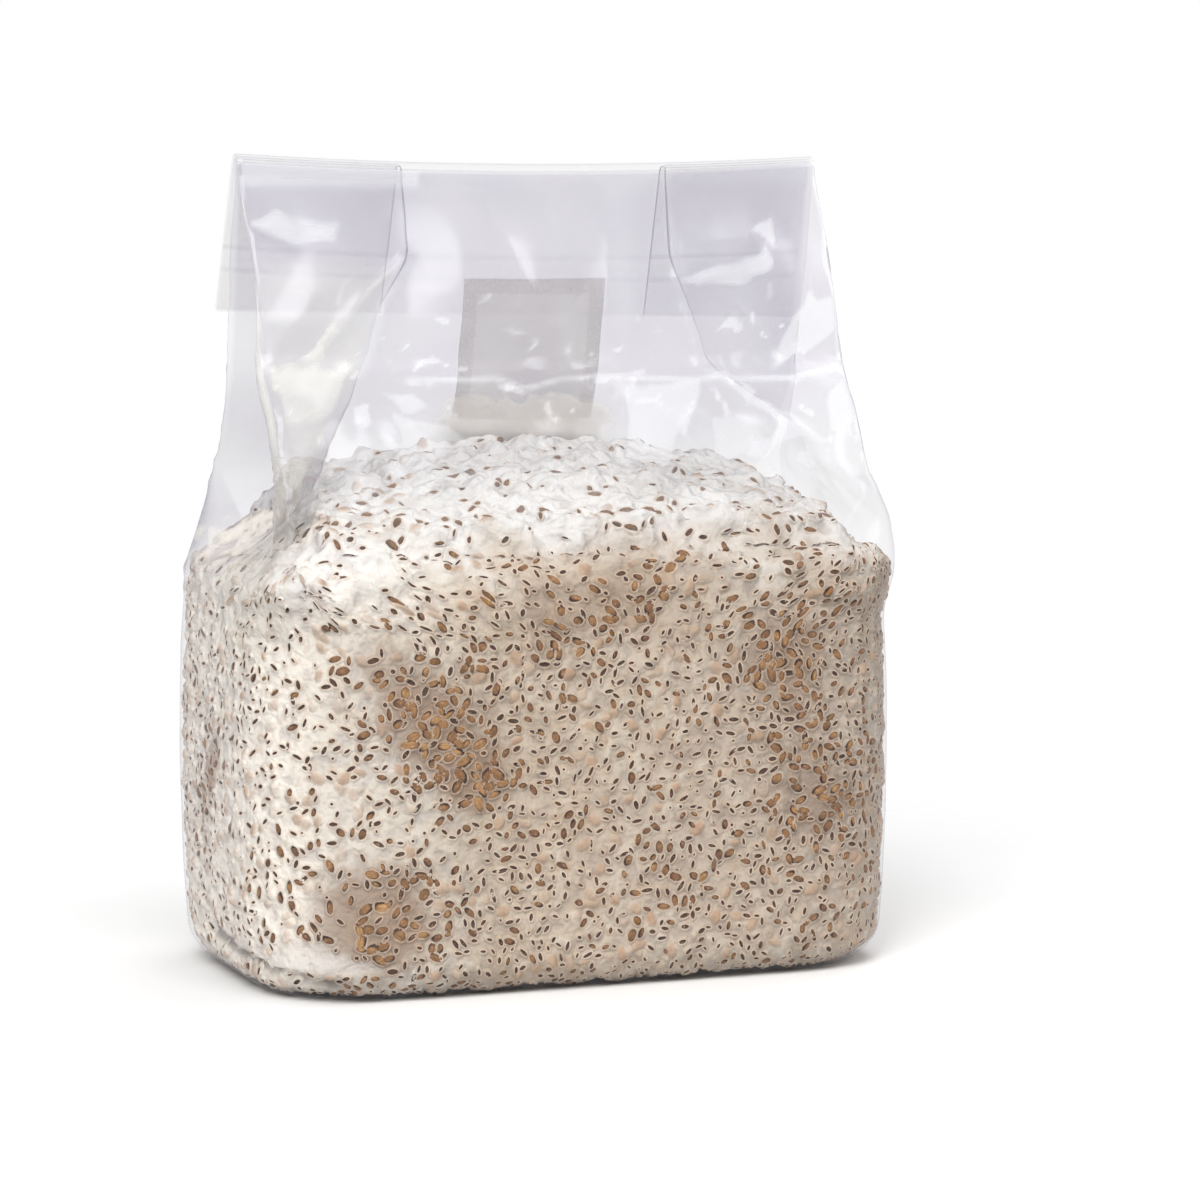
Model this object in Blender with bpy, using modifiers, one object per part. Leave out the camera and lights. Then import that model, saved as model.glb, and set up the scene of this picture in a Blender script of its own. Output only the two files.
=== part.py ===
"""A clear gusseted film bag of colonised grain spawn, folded shut and standing on its flat base.

Frame: metres, +Z up, the front panel faces -Y, and the origin is the middle of the base.
Pieces: the film bag, the breathing filter patch on its back panel, and the block of grain inside.
"""
from math import acos, atan2, cos, hypot, pi, radians, sin

import bpy
import numpy as np

# The bag as it is made: a tube of film with a tuck down each side
PANEL_WIDTH = 0.203        # front and back panel, edge to edge
TUCK_DEPTH = 0.056         # how far each side is tucked in where the top is pressed flat
FILM = 0.0004              # wall of the film
LAYER_PITCH = 0.0008       # spacing of the four film layers where the top is pressed flat

# The filled body
BODY_WIDTH = 0.227
BODY_DEPTH = 0.137
CORNER_RADIUS = 0.040      # upright corners
BASE_RADIUS = 0.015        # edge between the walls and the flat base
BARREL = 0.0025            # how far each wall swells at mid height

# Heights at which the walls change, worked out from how high the bag is filled and folded
FILL_HEIGHT = 0.144        # the grain leaves the front wall here and heaps up towards the back
FOLD_HEIGHT = 0.269        # top edge of the bag, at both ends of the fold
CREASE_START = FILL_HEIGHT - 0.018    # the upright corners start to sharpen into creases
BACK_SHOULDER = FILL_HEIGHT - 0.012   # the back wall starts to lean in
TUCK_START = FILL_HEIGHT - 0.010      # the sides start to tuck in
FRONT_SHOULDER = FILL_HEIGHT + 0.006  # the front wall starts to lean back
CREASE_SHARP = FILL_HEIGHT + 0.021    # the corners are creases, and the walls as narrow as a panel
BACK_BREAK = FILL_HEIGHT + 0.048      # the back panel stands almost upright above this
BACK_BREAK_OUT = 0.015                # and is this far behind the fold line there
TUCK_FULL = FOLD_HEIGHT - 0.033       # the tucks are at their full depth above this
FOLD_SAG = 0.003                      # dip of the top edge between its ends
BLEND = 0.005                         # rounding of each change of direction, up and down

# The closure: the flattened top is folded over and hangs down behind
BEND_RADIUS = 0.0026
FLAP_LENGTH = 0.053
FLAP_LEAN = 20             # degrees from the vertical, away from the bag

# The filter patch on the outside of the back panel
PATCH_SIZE = 0.050
PATCH_TOP = FOLD_HEIGHT - 0.041
PATCH_X = 0.004
PATCH_THICKNESS = 0.0005

# The block of grain
CLEARANCE = 0.0003         # gap between pieces that touch
HEAP_CLEARANCE = 0.0025    # between the loose top of the heap and the film above it
CREST_Y = 0.012            # the ridge of the heap runs from side to side a little behind the middle
CREST_LEFT = FILL_HEIGHT + 0.023
CREST_MIDDLE = FILL_HEIGHT + 0.032
CREST_RIGHT = FILL_HEIGHT + 0.021
CREST_PEAK_X = 0.015       # where the ridge is highest
CREST_FALL = 0.026         # the ridge falls off this near the side walls
LUMP = 0.0014              # height of the loose lumps on top
LUMP_SIZE = 0.016

# Mesh divisions
FRONT_PARTS = 10
CORNER_PARTS = 6
TUCK_PARTS = 3
ROLLER_PARTS = 16          # of the curve round a tuck's fold, before its points are spaced out
FOLD_SPREAD = 0.008        # how far a tuck's fold point is from its neighbours on the flat side
BASE_PARTS = 4
BEND_PARTS = 5
PATCH_PARTS = 5
HEAP_RINGS = 14
HEAP_RING_EASE = 0.85      # below 1 the outer rings of the heap lie closer together

HALF_PANEL = PANEL_WIDTH / 2
HALF_BODY = (BODY_WIDTH - FILM) / 2 - BARREL
HALF_DEPTH = (BODY_DEPTH - FILM) / 2 - BARREL
STACK = 1.5 * LAYER_PITCH  # from the middle of the four pressed layers to the outer ones
NECK_TOP = FOLD_HEIGHT - BEND_RADIUS - STACK - FILM / 2
PRESSED = NECK_TOP - 2 * BLEND

# Each wall as (height, distance) points joined by straight stretches
WIDTH_LINE = [(BACK_SHOULDER, HALF_BODY), (CREASE_SHARP, HALF_PANEL)]
FRONT_LINE = [(FRONT_SHOULDER, -HALF_DEPTH), (PRESSED, -STACK)]
BACK_LINE = [(BACK_SHOULDER, HALF_DEPTH), (BACK_BREAK, BACK_BREAK_OUT), (PRESSED, STACK)]
TUCK_LINE = [(TUCK_START, 0.0), (TUCK_FULL, TUCK_DEPTH)]
CORNER_LINE = [(CREASE_START, CORNER_RADIUS), (CREASE_SHARP, 2 * LAYER_PITCH),
               (PRESSED, LAYER_PITCH / 2)]
TUCK_ROLL_LINE = [(TUCK_START, CORNER_RADIUS / 5), (TUCK_FULL, LAYER_PITCH / 2)]


def along(line, height):
    """Distance at a height on a line of straight stretches, its corners rounded over BLEND."""
    heights, distances = zip(*line)
    return np.interp(height + np.linspace(-BLEND, BLEND, 9), heights, distances).mean()


def barrel(height):
    """How far the walls swell outwards at a height: most at mid height, nothing at the shoulder."""
    middle = BACK_SHOULDER / 2
    return BARREL * max(0.0, 1 - ((height - middle) / middle) ** 2)


def outline(height, inset=0.0):
    """The film's closed outline at a height, as points (x, y), or a parallel one inset from it.

    The film runs like a belt round four corner rollers, and on each side it dips in round a
    roller at the bottom of the tuck. An inset shrinks the corner rollers and swells the others.
    """
    swell = barrel(height)
    half_width = along(WIDTH_LINE, height) + swell
    front, back = along(FRONT_LINE, height) - swell, along(BACK_LINE, height) + swell
    corner, tuck_roll = along(CORNER_LINE, height), along(TUCK_ROLL_LINE, height)
    front_roller = np.array([half_width - corner, front + corner])
    back_roller = np.array([half_width - corner, back - corner])
    tuck_roller = np.array([half_width - along(TUCK_LINE, height) + tuck_roll, (front + back) / 2])
    corner, tuck_roll = corner - inset, tuck_roll + inset

    def leaving_angle(roller, side):
        """Angle at which the belt leaves a corner roller for the roller of the tuck."""
        across, ahead = (tuck_roller - roller) * (1, side)
        return atan2(ahead, across) - acos((corner + tuck_roll) / hypot(across, ahead))

    def arc(roller, radius, start, end, parts):
        angles = np.linspace(start, end, parts + 1)[:, None]
        return roller + radius * np.concatenate([np.cos(angles), np.sin(angles)], 1)

    front_leaves, back_leaves = leaving_angle(front_roller, 1), leaving_angle(back_roller, -1)
    front_corner = arc(front_roller, corner, -pi / 2, front_leaves, CORNER_PARTS)
    back_corner = arc(back_roller, corner, -back_leaves, pi / 2, CORNER_PARTS)
    dip = arc(tuck_roller, tuck_roll, pi + front_leaves, pi - back_leaves, ROLLER_PARTS)

    # The side wall's points are spaced by length, with three of them close round the tuck's fold
    wall = np.concatenate([front_corner[-1:], dip, back_corner[:1]])
    length = np.concatenate([[0], np.cumsum(np.hypot(*np.diff(wall, axis=0).T))])
    fold = (length[1] + length[-2]) / 2
    flatness = 1 - along(TUCK_LINE, height) / TUCK_DEPTH
    beside = max(fold - length[1], min(FOLD_SPREAD, fold / 4) * flatness)
    places = np.concatenate([np.linspace(0, fold - beside, TUCK_PARTS + 1)[1:], [fold],
                             np.linspace(fold + beside, length[-1], TUCK_PARTS + 1)[:-1]])
    side = np.stack([np.interp(places, length, wall[:, axis]) for axis in (0, 1)], 1)

    right = np.concatenate([front_corner, side, back_corner])
    left = right[::-1] * (-1, 1)
    steps = np.linspace(0, 1, FRONT_PARTS + 1)[1:-1, None]
    return np.concatenate([right, right[-1] + steps * (left[0] - right[-1]),
                           left, left[-1] + steps * (right[0] - left[-1])])


def sagged(points, weight):
    """The points lowered as the top edge sags: most in the middle, nothing at the ends."""
    lowered = points.copy()
    across = np.clip(1 - (points[..., 0] / HALF_PANEL) ** 2, 0, None)
    lowered[..., 2] -= FOLD_SAG * weight * across
    return lowered


def neck_weight(height):
    """Share of the sag at a height: none at the body, all of it at the fold."""
    return np.clip((height - BACK_BREAK) / (NECK_TOP - BACK_BREAK), 0, 1) ** 2


def level_row(height, inset=0.0):
    """The outline at a height as a row of points in space."""
    flat = outline(height, inset)
    row = np.column_stack([flat, np.full(len(flat), height)])
    return sagged(row, neck_weight(height))


def base_row(turn, inset=0.0):
    """A row on the rounded edge of the base: turn 0 is the flat base, 90 degrees the wall."""
    radius = BASE_RADIUS - inset
    height = FILM / 2 + BASE_RADIUS - radius * cos(turn)
    flat = outline(height, BASE_RADIUS - radius * sin(turn))
    return np.column_stack([flat, np.full(len(flat), height)])


def mesh_from_rows(name, rows, start_cap, end_cap=None):
    """Quads between closed rows of points, with a fan to a middle point at a capped end."""
    count = len(rows[0])
    points = np.concatenate(rows)
    this = np.arange(count)
    following = np.roll(this, -1)
    faces = []
    for number in range(len(rows) - 1):
        low, high = number * count, (number + 1) * count
        faces += np.column_stack([low + this, low + following,
                                  high + following, high + this]).tolist()
    middles = [start_cap]
    faces += np.column_stack([following, this, np.full(count, len(points))]).tolist()
    if end_cap is not None:
        last = (len(rows) - 1) * count
        faces += np.column_stack([last + this, last + following,
                                  np.full(count, len(points) + 1)]).tolist()
        middles.append(end_cap)
    mesh = bpy.data.meshes.new(name)
    mesh.from_pydata(np.concatenate([points, middles]).tolist(), [], faces)
    mesh.validate()
    return mesh


def add_piece(mesh, material, thickness=None):
    """Puts a mesh in the bag's collection, with a wall where it is a sheet."""
    piece = bpy.data.objects.new(mesh.name, mesh)
    collection.objects.link(piece)
    mesh.materials.append(material)
    mesh.shade_smooth()
    if thickness:
        wall = piece.modifiers.new("Wall", "SOLIDIFY")
        wall.thickness = thickness
        wall.offset = 0.0
        wall.use_even_offset = False
    return piece


def make_material(name, colour, roughness, alpha=1.0):
    material = bpy.data.materials.new(name)
    material.use_nodes = True
    shader = material.node_tree.nodes["Principled BSDF"]
    shader.inputs["Base Color"].default_value = (*colour, 1)
    shader.inputs["Roughness"].default_value = roughness
    shader.inputs["Metallic"].default_value = 0.0
    shader.inputs["Alpha"].default_value = alpha
    material.diffuse_color = (*colour, alpha)
    return material


def wall_heights():
    """Heights of the film's rows: wide apart on the body, close where the shape changes."""
    body = np.linspace(FILM / 2 + BASE_RADIUS, CREASE_START, 4)
    shoulder = np.linspace(CREASE_START, FILL_HEIGHT, 3)[1:]
    lean = np.linspace(FILL_HEIGHT, BACK_BREAK, 7)[1:]
    neck = np.linspace(BACK_BREAK, PRESSED, 6)[1:]
    pressed = np.linspace(PRESSED, NECK_TOP, 4)[1:]
    return np.concatenate([body, shoulder, lean, neck, pressed])


def flap_lean():
    """The flap's lean: the stated one, or more where it would run into the back wall."""
    down = np.linspace(0, FLAP_LENGTH, 20)
    for lean in np.radians(np.arange(FLAP_LEAN, 80)):
        out = 2 * BEND_RADIUS - STACK - FILM / 2 + down * sin(lean)
        wall = [along(BACK_LINE, height) + FILM / 2 for height in NECK_TOP - down * cos(lean)]
        if min(out - wall) > CLEARANCE:
            break
    return lean


def make_film_bag(material):
    """Base, walls, flattened neck, fold-over and hanging flap, as one sheet with an open mouth."""
    turns = np.linspace(0, pi / 2, BASE_PARTS + 1)
    rim = base_row(0.0)
    half_way = rim * (0.5, 0.5, 1)
    rows = [half_way, rim] + [base_row(turn) for turn in turns[1:]]
    rows += [level_row(height) for height in wall_heights()[1:]]

    # The pressed layers keep their spacing along the fold-over: forward is the way from the
    # front layer to the back one, which turns from +Y until the flap leans away from the bag
    layers = outline(NECK_TOP)
    bend_middle = np.array([BEND_RADIUS, NECK_TOP])

    def folded_row(turn, beyond, sag=1.0):
        forward = np.array([cos(turn), -sin(turn)])
        onward = np.array([sin(turn), cos(turn)])
        line = bend_middle - BEND_RADIUS * forward + beyond * onward
        row = np.column_stack([layers[:, 0], line + layers[:, 1:] * forward])
        return sagged(row, sag)

    bends = np.linspace(0, pi - flap_lean(), BEND_PARTS + 1)[1:]
    rows += [folded_row(turn, 0.0) for turn in bends]
    rows += [folded_row(bends[-1], FLAP_LENGTH * part, sag=1 - part) for part in (0.5, 1.0)]
    middle = [0, 0, FILM / 2]
    return add_piece(mesh_from_rows("film_bag", rows, middle), material, FILM)


def make_filter_patch(material):
    """A square of filter membrane that follows the slope of the back panel, just outside it."""
    heights = wall_heights()
    backs = np.array([along(BACK_LINE, height) + barrel(height) for height in heights])
    out = FILM / 2 + CLEARANCE + PATCH_THICKNESS / 2
    slopes = np.gradient(backs, heights)
    turned = np.hypot(1, slopes)

    # Down the slope of the panel from the top edge, a row wherever the panel has one
    inside = heights[heights < PATCH_TOP][::-1]
    stops = np.concatenate([[PATCH_TOP], inside])
    travelled = np.concatenate([[0], np.cumsum(np.hypot(np.diff(stops), np.diff(
        np.interp(stops, heights, backs))))])
    bottom = np.interp(PATCH_SIZE, travelled, stops)
    stops = np.concatenate([stops[stops > bottom + CLEARANCE], [bottom]])
    across = np.linspace(-PATCH_SIZE / 2, PATCH_SIZE / 2, PATCH_PARTS + 1) + PATCH_X
    x, z = np.meshgrid(across, stops)
    y = np.interp(z, heights, backs) + out * np.interp(z, heights, turned)
    points = sagged(np.stack([x, y, z], -1), neck_weight(z))

    rows, columns = x.shape
    corner = (np.arange(rows - 1)[:, None] * columns + np.arange(columns - 1)).ravel()
    faces = np.column_stack([corner, corner + columns, corner + columns + 1, corner + 1])
    mesh = bpy.data.meshes.new("filter_patch")
    mesh.from_pydata(points.reshape(-1, 3).tolist(), [], faces.tolist())
    return add_piece(mesh, material, PATCH_THICKNESS)


def heap_height(x, y):
    """Height of the heap's top: a ridge that slopes down to the front, held under the film."""
    reach = HALF_BODY - CREST_FALL
    crest = np.interp(x, [-HALF_BODY, -reach, CREST_PEAK_X, reach, HALF_BODY],
                      [FILL_HEIGHT, CREST_LEFT, CREST_MIDDLE, CREST_RIGHT, FILL_HEIGHT])
    climb = np.clip((y + HALF_DEPTH) / (CREST_Y + HALF_DEPTH), 0, 1)
    loose = FILL_HEIGHT + (crest - FILL_HEIGHT) * np.sin(climb * pi / 2)

    # The film over a point: where the front wall, the back wall and the tucks reach it
    heights = np.linspace(FILL_HEIGHT, PRESSED, 40)
    fronts = [along(FRONT_LINE, height) for height in heights]
    backs = [along(BACK_LINE, height) for height in heights]
    folds = [along(WIDTH_LINE, height) - along(TUCK_LINE, height) for height in heights]
    under_front = np.interp(y, fronts, heights)
    under_back = np.interp(y, backs[::-1], heights[::-1])
    under_tuck = np.interp(np.abs(x), folds[::-1], heights[::-1])
    roof = np.minimum(np.minimum(under_front, under_back), under_tuck) - HEAP_CLEARANCE
    return np.minimum(loose, roof)


def make_grain(material):
    """The block of grown-together grain: it fills the bag and ends in a lumpy sloping heap."""
    inset = FILM / 2 + CLEARANCE
    back_slope = (HALF_DEPTH - BACK_BREAK_OUT) / (BACK_BREAK - BACK_SHOULDER)
    turns = np.linspace(0, pi / 2, BASE_PARTS + 1)
    walls = [height for height in wall_heights()[1:] if height < FILL_HEIGHT + CLEARANCE]
    rows = [base_row(turn, inset) for turn in turns]
    rows += [level_row(height, inset * (hypot(1, back_slope) if height > BACK_SHOULDER else 1))
             for height in walls]

    rim = rows[-1]
    middle = np.array([0.0, CREST_Y / 2])
    for ring in range(1, HEAP_RINGS):
        share = 1 - (ring / HEAP_RINGS) ** HEAP_RING_EASE
        flat = middle + share * (rim[:, :2] - middle)
        x, y = flat.T
        lumps = (np.sin(x * 2 * pi / LUMP_SIZE + 1.3 * np.sin(y * 2 * pi / LUMP_SIZE / 1.7))
                 * np.sin(y * 2 * pi / LUMP_SIZE + 0.8 + 1.1 * np.sin(x * 2 * pi / LUMP_SIZE / 1.4)))
        rows.append(np.column_stack([flat, heap_height(x, y) + LUMP * (lumps - 1)]))
    top = [*middle, heap_height(*middle) - LUMP]
    under = [0, 0, rows[0][0, 2]]
    return add_piece(mesh_from_rows("grain_spawn", rows, under, top), material)


for old in list(bpy.data.objects):
    bpy.data.objects.remove(old, do_unlink=True)
collection = bpy.data.collections.new("Grain spawn bag")
bpy.context.scene.collection.children.link(collection)

make_film_bag(make_material("Clear film", (0.80, 0.79, 0.84), 0.12, alpha=0.3))
make_filter_patch(make_material("Filter membrane", (0.62, 0.59, 0.55), 0.85))
make_grain(make_material("Colonised grain", (0.70, 0.60, 0.51), 0.80))
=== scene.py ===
"""A clear gusseted film bag of colonised grain spawn, folded shut: the looks of its pieces.

Lengths are in millimetres up to the meshes, which are in metres. +Z is up, the front panel
faces -Y, and the origin is the middle of the base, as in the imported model.
"""

import bpy
import numpy as np
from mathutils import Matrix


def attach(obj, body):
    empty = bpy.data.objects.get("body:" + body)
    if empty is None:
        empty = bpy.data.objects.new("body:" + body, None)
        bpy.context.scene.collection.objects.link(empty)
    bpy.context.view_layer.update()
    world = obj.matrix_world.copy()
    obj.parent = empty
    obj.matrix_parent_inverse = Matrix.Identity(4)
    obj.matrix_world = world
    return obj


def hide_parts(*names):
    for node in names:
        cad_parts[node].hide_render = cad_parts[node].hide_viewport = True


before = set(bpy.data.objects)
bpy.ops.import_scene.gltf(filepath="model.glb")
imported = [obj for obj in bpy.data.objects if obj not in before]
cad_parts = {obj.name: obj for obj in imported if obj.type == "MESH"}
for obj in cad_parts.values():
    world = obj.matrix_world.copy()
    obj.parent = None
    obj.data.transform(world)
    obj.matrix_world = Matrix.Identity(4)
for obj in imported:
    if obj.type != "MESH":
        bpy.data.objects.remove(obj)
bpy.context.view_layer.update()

# The film bag: a tube of clear, rather stiff plastic film with a tuck down each side. The grain
# fills it to the shoulder, the neck above is drawn flat, and the top is folded over to the back
# and hangs there. Each wall is a line of (height, distance) points.
FOLD_HEIGHT, FILL_HEIGHT = 269.0, 144.0
HALF_PANEL, HALF_BODY, HALF_DEPTH = 101.5, 110.8, 65.8
FILM = 0.4
LAYER = 0.8                 # spacing of the layers where the top is pressed flat
BARREL = 2.5                # how far the walls swell at mid height
BASE_RADIUS = 15.0
BEND_RADIUS = 2.6
FLAP_LENGTH = 53.0
FLAP_LEAN = (18.5, -5.5)    # degrees from the vertical: in the middle, and added at the right end
FOLD_SAG = 3.0
BLEND = 3.0                 # rounding of each change of direction, up and down
STACK = 1.5 * LAYER
NECK_TOP = FOLD_HEIGHT - BEND_RADIUS - STACK - FILM / 2
PRESSED = NECK_TOP - 3.0
WIDTH_LINE = [(132, HALF_BODY), (165, HALF_PANEL)]
FRONT_LINE = [(141, -HALF_DEPTH), (148, -61), (155, -54), (165, -48.5), (175, -44), (185, -39),
              (195, -30.5), (202, -26), (215, -23.5), (227, -19.5), (240, -14), (253, -6.5),
              (PRESSED, -STACK)]
BACK_LINE = [(128, HALF_DEPTH), (140, 57), (152, 45), (166, 32), (179, 22.5), (195, 14.5),
             (218, 9), (PRESSED, STACK)]
TUCK_LINES = {1: [(146, 0), (177, 9), (200, 41), (236, 54.5)],
              -1: [(134, 0), (154, 20), (163, 24), (183, 32), (203, 42), (218, 46), (236, 56)]}
TUCK_ROLL_LINE = [(134, 8), (200, 1.5), (236, LAYER / 2)]
FRONT_CORNER_LINES = {1: [(118, 40), (152, 7), (168, 2), (PRESSED, LAYER / 2)],
                      -1: [(116, 40), (137, 12), (146, 4), (165, 1.6), (PRESSED, LAYER / 2)]}
BACK_CORNER_LINE = [(126, 40), (165, 1.6), (PRESSED, LAYER / 2)]
PANEL_PARTS, CORNER_PARTS, LEAF_PARTS, DIP_PARTS = 128, 7, 37, 8
BASE_ROWS, BODY_ROW_STEP, NECK_ROW_STEP = 15, 2.4, 1.25
FOLD_ROWS, FLAP_ROWS = 8, 26
SAG_FROM = 190.0            # height from which the film follows the sag of the fold


def along(line, height):
    """Distance at a height on a line of straight stretches, as the mean over BLEND either way."""
    heights, distances = zip(*line)
    spread = np.linspace(-BLEND, BLEND, 9)
    return np.interp(np.add.outer(height, spread), heights, distances).mean(-1)


def evenly(points, parts):
    """Points spaced evenly by length along a path: straight steps between its own points."""
    length = np.concatenate([[0], np.cumsum(np.hypot(*np.diff(points, axis=0).T))])
    places = np.linspace(0, length[-1], parts + 1)
    return np.stack([np.interp(places, length, points[:, axis]) for axis in (0, 1)], 1)


def outline(height, shrink=0.0):
    """The film's closed outline at a height: a belt round four corner rollers that dips in
    round a roller in each tuck, as straight stretches tangent to the arcs at their ends."""
    middle = FILL_HEIGHT / 2
    swell = BARREL * max(0.0, 1 - ((height - middle) / middle) ** 2) - shrink
    half = along(WIDTH_LINE, height) + swell
    front, back = along(FRONT_LINE, height) - swell, along(BACK_LINE, height) + swell
    roll = along(TUCK_ROLL_LINE, height)
    sides = {}
    for way in (1, -1):
        radii = along(FRONT_CORNER_LINES[way], height), along(BACK_CORNER_LINE, height)
        radii = np.maximum(np.array(radii) - shrink, 0.3)
        tuck = np.array([half - along(TUCK_LINES[way], height) + roll, (front + back) / 2])
        halves = []
        for radius, wall, towards in ((radii[0], front, 1), (radii[1], back, -1)):
            roller = np.array([half - radius, wall + towards * radius])
            across, ahead = (tuck - roller) * (1, towards)
            leaves = np.arctan2(ahead, across) - np.arccos((radius + roll) / np.hypot(across, ahead))
            turns = np.linspace(-np.pi / 2, leaves, CORNER_PARTS)[:, None]
            corner = roller + radius * np.hstack([np.cos(turns), towards * np.sin(turns)])
            turns = np.linspace(np.pi + leaves, np.pi, DIP_PARTS + 1)[:, None]
            dip = tuck + roll * np.hstack([np.cos(turns), towards * np.sin(turns)])
            leaf = evenly(np.concatenate([corner[-1:], dip]), LEAF_PARTS)
            halves.append(np.concatenate([corner[:-1], leaf]))
        sides[way] = np.concatenate([halves[0], halves[1][-2::-1]]) * (way, 1)
    right, left = sides[1], sides[-1][::-1]
    steps = np.linspace(0, 1, PANEL_PARTS + 1)[1:-1, None]
    return np.concatenate([left[-1] + steps * (right[0] - left[-1]), right,
                           right[-1] + steps * (left[0] - right[-1]), left])


def sagged(points, weight):
    """The points lowered as the top edge sags: FOLD_SAG in the middle, nothing at the ends."""
    across = np.clip(1 - (points[..., 0] / HALF_PANEL) ** 2, 0, None)
    return points - np.stack([0 * across, 0 * across, FOLD_SAG * weight * across], -1)


def level(flat, height):
    """A row of points at one height."""
    return np.column_stack([flat, np.full(len(flat), height)])


# Rows of the film: up the rounded edge of the base, up the body, then closer up the neck
base_rows = [level(outline(BASE_RADIUS, BASE_RADIUS * (1 - np.sin(turn))),
                   FILM / 2 + BASE_RADIUS * (1 - np.cos(turn)))
             for turn in np.linspace(0, np.pi / 2, BASE_ROWS)]
heights = np.concatenate([np.arange(17.5, 118, BODY_ROW_STEP),
                          np.arange(118.5, NECK_TOP - 1, NECK_ROW_STEP), [NECK_TOP]])
sag = np.clip((heights - SAG_FROM) / (NECK_TOP - SAG_FROM), 0, 1) ** 2
wall_rows = [sagged(level(outline(height), height), weight) for height, weight in zip(heights, sag)]

# The pressed layers are carried round the fold-over: forward is the way from the front layer to
# the back one, which turns from +Y until the flap leans away from the bag
layers = outline(NECK_TOP)
turned = np.pi - np.radians(FLAP_LEAN[0] + FLAP_LEAN[1] * layers[:, 0] / HALF_PANEL)
flap_rows = []
for share, beyond in [(share, 0.0) for share in np.linspace(0, 1, FOLD_ROWS + 1)[1:]] + [
        (1.0, beyond) for beyond in np.linspace(0, FLAP_LENGTH, FLAP_ROWS + 1)[1:]]:
    forward = np.column_stack([np.cos(share * turned), -np.sin(share * turned)])
    onward = np.column_stack([np.sin(share * turned), np.cos(share * turned)])
    line = np.array([BEND_RADIUS, NECK_TOP]) - BEND_RADIUS * forward + beyond * onward
    row = np.column_stack([layers[:, 0], line + layers[:, 1:] * forward])
    flap_rows.append(sagged(row, 1 - beyond / FLAP_LENGTH))
plain = np.array(base_rows + wall_rows + flap_rows)
ROWS, COLUMNS = plain.shape[:2]
FLAP_START = len(base_rows) + len(wall_rows)


def outward(surface):
    """Unit normals of a grid of points: the way along its closed rows, crossed with the way up."""
    along_row = np.roll(surface, -1, 1) - np.roll(surface, 1, 1)
    up = np.gradient(surface, axis=0)
    normals = np.cross(along_row, up)
    return normals / np.maximum(np.linalg.norm(normals, axis=-1, keepdims=True), 1e-9)


# Each point's place on the film laid flat: length round from the middle of the front, and up
steps = np.linalg.norm(np.diff(plain, axis=1, append=plain[:, :1]), axis=-1)
girth = steps.sum(1, keepdims=True)
round_film = np.cumsum(steps, 1) - steps / 2 - steps[:, :PANEL_PARTS - 1].sum(1, keepdims=True) / 2
round_film = (round_film + girth / 2) % girth - girth / 2
climb = np.linalg.norm(np.diff(plain, axis=0), axis=-1)
up_film = np.concatenate([np.zeros((1, COLUMNS)), np.cumsum(climb, 0)])
column = np.arange(COLUMNS)
side_parts = 2 * (CORNER_PARTS - 1) + 2 * LEAF_PARTS + 1
front_panel = column < PANEL_PARTS - 1
back_panel = (column >= PANEL_PARTS - 1 + side_parts) & (column < 2 * (PANEL_PARTS - 1) + side_parts)
left_side = column >= 2 * (PANEL_PARTS - 1) + side_parts


LATTICE, SKEW = 97, 0.366   # lattice points either way, and the skew that evens the triangles


def facets(across, up, size, seed):
    """Flat-faced crumples from -1 to 1: random heights on a lattice of triangles of that size,
    joined by planes, so the share of each corner falls off evenly across its triangle."""
    lattice = np.random.default_rng(seed).uniform(-1, 1, (LATTICE, LATTICE))
    skewed = (across + up) * SKEW
    i, j = (across + skewed) / size, (up + skewed) / size
    i0, j0 = np.floor(i).astype(int), np.floor(j).astype(int)
    high, low = np.maximum(i - i0, j - j0), np.minimum(i - i0, j - j0)
    i_over = i - i0 > j - j0
    i0, j0, i1, j1 = i0 % LATTICE, j0 % LATTICE, (i0 + 1) % LATTICE, (j0 + 1) % LATTICE
    beside = np.where(i_over, lattice[i1, j0], lattice[i0, j1])
    return lattice[i0, j0] * (1 - high) + beside * (high - low) + lattice[i1, j1] * low


def distance_to(x, y, line):
    """Distance from each place to a path of (x, y) points."""
    nearest = np.full(np.shape(x), np.inf)
    for (x0, y0), (x1, y1) in zip(line[:-1], line[1:]):
        run, climb = x1 - x0, y1 - y0
        share = np.clip(((x - x0) * run + (y - y0) * climb) / (run ** 2 + climb ** 2), 0, 1)
        nearest = np.minimum(nearest, np.hypot(x - x0 - share * run, y - y0 - share * climb))
    return nearest


def crease(x, y, line, width):
    """A sharp-backed ridge, 1 on a path and falling off as exp(-distance/width)."""
    return np.exp(-distance_to(x, y, line) / width)


def rise(value, low, high):
    """A smooth step from 0 at low to 1 at high: 3t squared less 2t cubed."""
    share = np.clip((value - low) / (high - low), 0, 1)
    return share * share * (3 - 2 * share)


# The folded-in corner at the lower left: two lips pressed in and a pouch pushed out between them,
# which the film and the grain share. Places are lengths round the film, and heights.
LOWER_LIP = [(-168, 15), (-134, 12), (-104, 8), (-84, 4)]
UPPER_LIP = [(-110, 12), (-100, 17), (-90, 16), (-76, 11)]
LOWER_LIP_DEPTH, UPPER_LIP_DEPTH, POUCH_DEPTH = 3.2, 2.2, 1.8
POUCH_ROUND, POUCH_HEIGHT, POUCH_HALF_WIDTH, POUCH_HALF_HEIGHT = -93, 11, 11, 4
z = plain[..., 2]
lips = (LOWER_LIP_DEPTH * crease(round_film, z, LOWER_LIP, 2.0)
        + UPPER_LIP_DEPTH * crease(round_film, z, UPPER_LIP, 1.6))
pouch = POUCH_DEPTH * np.exp(-((round_film - POUCH_ROUND) / POUCH_HALF_WIDTH) ** 2
                             - ((z - POUCH_HEIGHT) / POUCH_HALF_HEIGHT) ** 2)
lips[FLAP_START:] = 0
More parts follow.
